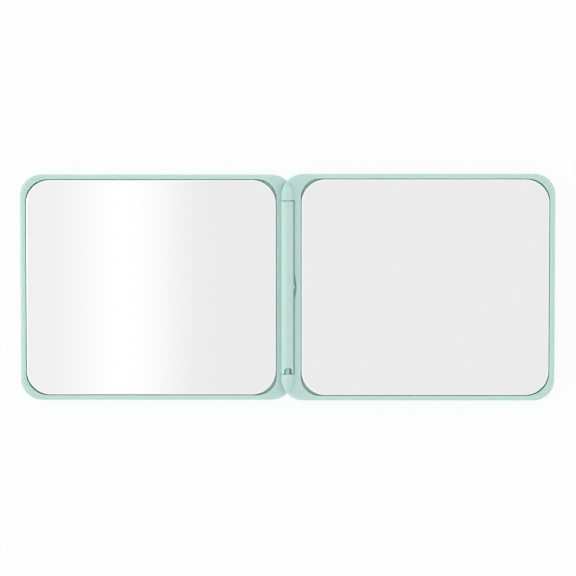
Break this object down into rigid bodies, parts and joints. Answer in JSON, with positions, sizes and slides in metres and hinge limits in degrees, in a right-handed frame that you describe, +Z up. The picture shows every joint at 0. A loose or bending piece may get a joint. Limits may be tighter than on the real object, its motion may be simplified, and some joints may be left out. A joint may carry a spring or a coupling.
{
  "type": "compact mirror",
  "caption": "Folding double compact mirror with round-cornered plastic halves on a barrel hinge, opened out flat, a rectangular glass mirror in each half.",
  "frame": {"origin": "on the surface the open case lies on, directly below the middle of the hinge axis", "axes": "+Z up, out of the mirrors; +X from the hinge towards the base's free edge, the picture's right; +Y along the hinge axis, up the picture"},
  "size_m": [0.1659, 0.0704, 0.0079],
  "materials": {
    "mint_plastic": "satin moulded ABS",
    "silvered_glass": "polished, with ground edges",
    "foam_tape": "matt closed-cell foam",
    "nickel_plate": "nickel plated"
  },
  "bodies": {
    "base": {"base_shell": "mint_plastic", "base_mirror": "silvered_glass", "base_tape_upper": "foam_tape", "base_tape_middle": "foam_tape", "base_tape_lower": "foam_tape", "base_magnet_upper": "nickel_plate", "base_magnet_lower": "nickel_plate"},
    "lid": {"lid_shell": "mint_plastic", "lid_mirror": "silvered_glass", "lid_tape_upper": "foam_tape", "lid_tape_middle": "foam_tape", "lid_tape_lower": "foam_tape", "lid_magnet_upper": "nickel_plate", "lid_magnet_lower": "nickel_plate"}
  },
  "joints": [
    {"name": "lid_hinge", "type": "hinge", "parent": "base", "child": "lid", "pos_m": [0, 0, 0.006], "axis": [0, 1, 0], "range_deg": [0, 180]}
  ]
}
